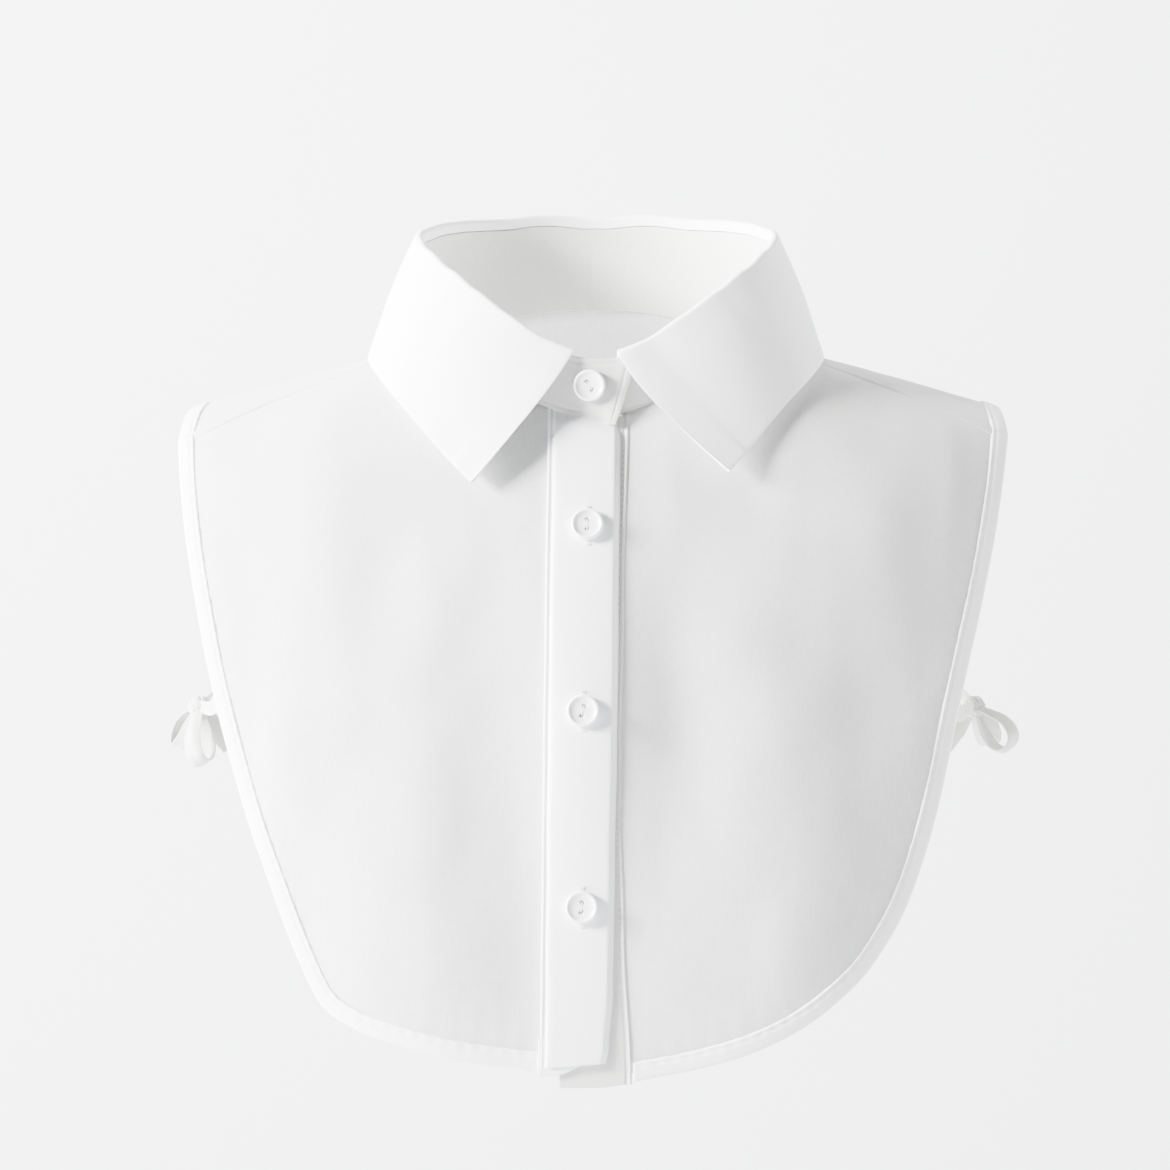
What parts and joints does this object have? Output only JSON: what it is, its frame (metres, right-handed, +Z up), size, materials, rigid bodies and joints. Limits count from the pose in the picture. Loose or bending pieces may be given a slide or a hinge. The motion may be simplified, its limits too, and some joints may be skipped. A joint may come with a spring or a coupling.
{
  "type": "detachable collar bib",
  "caption": "Detachable white shirt collar on a bib, buttoned down the front, with a back panel, bound edges and ribbon ties at both sides.",
  "frame": {"origin": "middle of the neck opening, just above the shoulder line", "axes": "+Z up, the front faces -Y and the wearer's left is +X"},
  "size_m": [0.3183, 0.2123, 0.3074],
  "materials": {
    "crisp_cloth": "opaque white shirting, pressed",
    "panel_cloth": "light white shirting, soft",
    "binding_cloth": "folded white bias strip",
    "ribbon_cloth": "soft white cotton ribbon",
    "button_plastic": "pearly white, slightly glossy"
  },
  "bodies": {
    "root": {"collar_stand": "crisp_cloth", "collar_leaf": "crisp_cloth", "front_panel_right": "panel_cloth", "front_panel_left": "panel_cloth", "back_panel": "panel_cloth", "placket_buttonhole_side": "crisp_cloth", "placket_button_side": "crisp_cloth", "binding_front_right": "binding_cloth", "binding_front_left": "binding_cloth", "binding_back": "binding_cloth", "button_collar": "button_plastic", "button_front_1": "button_plastic", "button_front_2": "button_plastic", "button_front_3": "button_plastic", "tie_front_strap_right": "ribbon_cloth", "tie_back_strap_right": "ribbon_cloth", "tie_knot_right": "ribbon_cloth", "tie_front_loop_right": "ribbon_cloth", "tie_back_loop_right": "ribbon_cloth", "tie_front_tail_right": "ribbon_cloth", "tie_back_tail_right": "ribbon_cloth", "tie_front_strap_left": "ribbon_cloth", "tie_back_strap_left": "ribbon_cloth", "tie_knot_left": "ribbon_cloth", "tie_front_loop_left": "ribbon_cloth", "tie_back_loop_left": "ribbon_cloth", "tie_front_tail_left": "ribbon_cloth", "tie_back_tail_left": "ribbon_cloth"}
  },
  "joints": []
}
